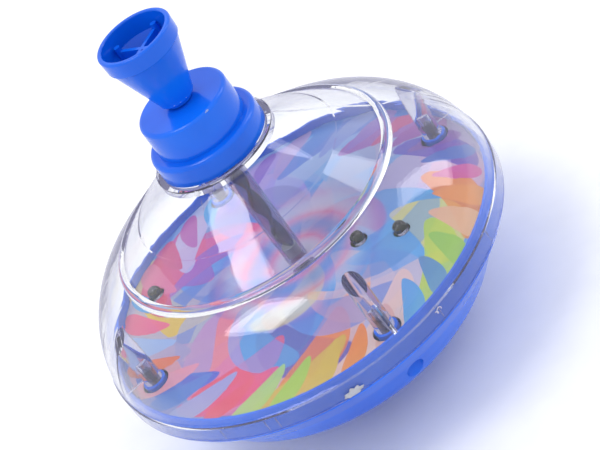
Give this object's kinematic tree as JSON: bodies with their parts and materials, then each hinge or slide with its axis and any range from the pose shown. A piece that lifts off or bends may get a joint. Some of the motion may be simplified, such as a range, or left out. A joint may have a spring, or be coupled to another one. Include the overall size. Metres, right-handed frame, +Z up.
{
  "type": "spinning top",
  "caption": "Push-down spinning top with a cone knob on a twisted strip, a clear dome over a lit picture disc, a bowl base and a freewheeling foot.",
  "frame": {"origin": "point where the foot tip meets the ground, on the spin axis", "axes": "+Z up along the spin axis towards the knob; -Y is the side facing the viewer"},
  "size_m": [0.155, 0.155, 0.1544],
  "materials": {
    "blue_plastic": "moulded gloss",
    "clear_plastic": "clear polished",
    "white_plastic": "satin",
    "printed_sheet": "printed satin sheet",
    "lamp_plastic": "clear epoxy",
    "board": "solder mask",
    "black_plastic": "satin",
    "steel": "bright",
    "brass_bush": "turned",
    "foot_plastic": "worn nylon",
    "wire_sheath": "matte"
  },
  "bodies": {
    "housing": {"dome": "clear_plastic", "base_bowl": "blue_plastic", "lower_collar": "blue_plastic", "upper_cap": "blue_plastic", "guide_tube": "clear_plastic", "ratchet_ring": "white_plastic", "printed_disc": "printed_sheet", "led_lamps": "lamp_plastic", "circuit_board": "board", "chip": "black_plastic", "resistors": "black_plastic", "motion_switch": "steel", "battery_holder": "black_plastic", "button_cells": "steel", "battery_contacts": "steel", "battery_door": "blue_plastic", "balance_weight": "steel", "assembly_screws": "steel", "board_screws": "steel", "weight_screw": "steel", "door_screw": "steel", "battery_wires": "wire_sheath", "foot_bush": "brass_bush", "hub_cap": "white_plastic"},
    "freewheel": {"thrust_washer": "white_plastic"},
    "nut": {"drive_nut": "white_plastic"},
    "handle": {"knob": "blue_plastic", "spiral_rod": "steel", "cross_pin": "steel", "stop_bush": "white_plastic"},
    "foot": {"foot_tip": "foot_plastic", "foot_pin": "steel", "foot_clip": "steel"}
  },
  "joints": [
    {"name": "freewheel_spin", "type": "hinge", "parent": "housing", "child": "freewheel", "pos_m": [0, 0, 0.1188], "axis": [0, 0, 1], "continuous": true},
    {"name": "pump", "type": "slide", "parent": "freewheel", "child": "handle", "axis": [0, 0, 1], "range_m": [0, 0.0505]},
    {"name": "nut_turn", "type": "hinge", "parent": "freewheel", "child": "nut", "pos_m": [0, 0, 0.115], "axis": [0, 0, 1], "range_deg": [-611, 5]},
    {"name": "foot_spin", "type": "hinge", "parent": "housing", "child": "foot", "pos_m": [0, 0, 0.018], "axis": [0, 0, 1], "continuous": true}
  ],
  "couplings": [
    {"joint": "nut_turn", "follows": "pump", "rad_per_m": -209.44}
  ]
}
